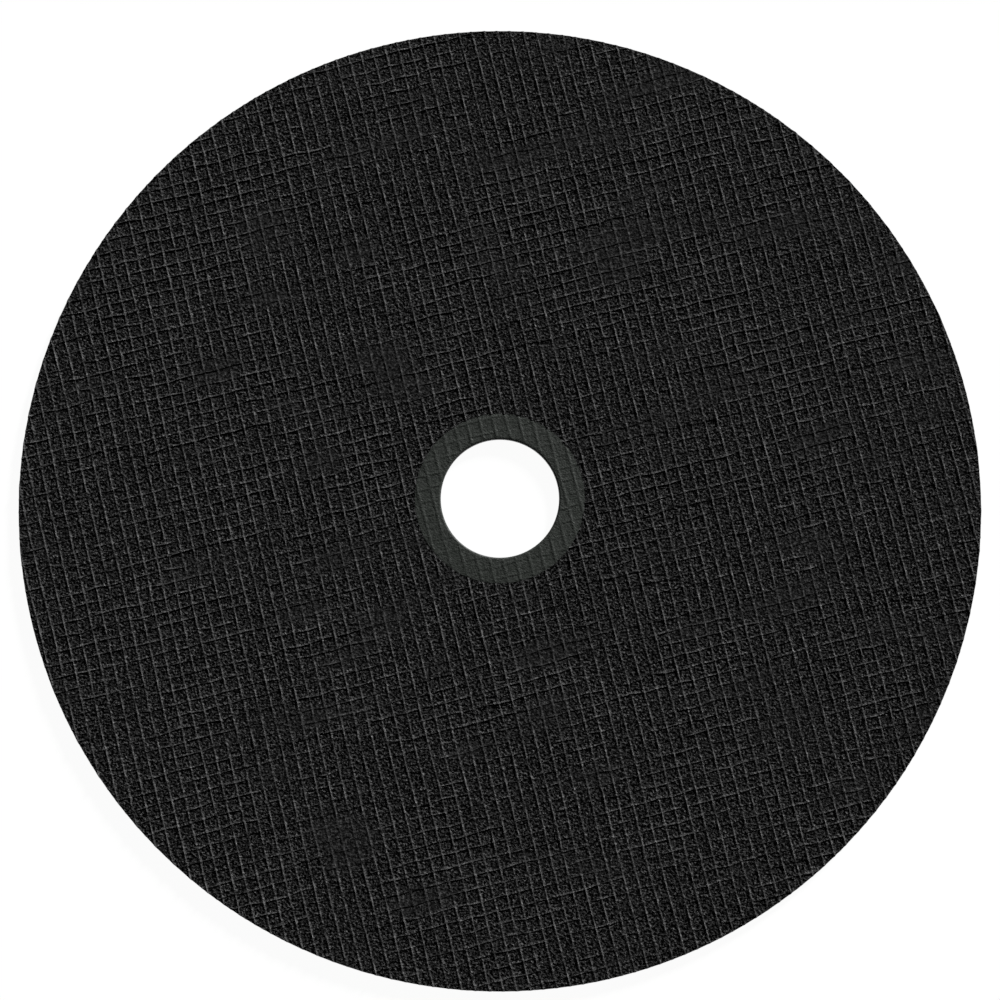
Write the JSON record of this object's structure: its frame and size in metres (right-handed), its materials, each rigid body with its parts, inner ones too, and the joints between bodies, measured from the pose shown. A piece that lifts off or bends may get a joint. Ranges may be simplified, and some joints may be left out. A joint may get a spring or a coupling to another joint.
{
  "type": "cut-off wheel",
  "caption": "Thin flat round abrasive wheel with woven mesh faces and a pressed steel ring in its bore, clamped on a grinder's spindle to cut metal.",
  "frame": {"origin": "on the wheel's axis, on the plane that the back face rests on", "axes": "+Z along the wheel's axis, out of the front face, which has the ring's flange; the warp threads are turned 14.3 degrees from Y about +Z"},
  "size_m": [0.18, 0.18, 0.0016],
  "materials": {
    "abrasive": "near-black resin-bonded abrasive, gritty, with the relief of woven glass mesh on both faces",
    "ring_steel": "dark grey-green coated sheet steel, satin, with a shallow imprint of the mesh"
  },
  "bodies": {
    "root": {"abrasive_disc": "abrasive", "arbor_ring": "ring_steel"}
  },
  "joints": []
}
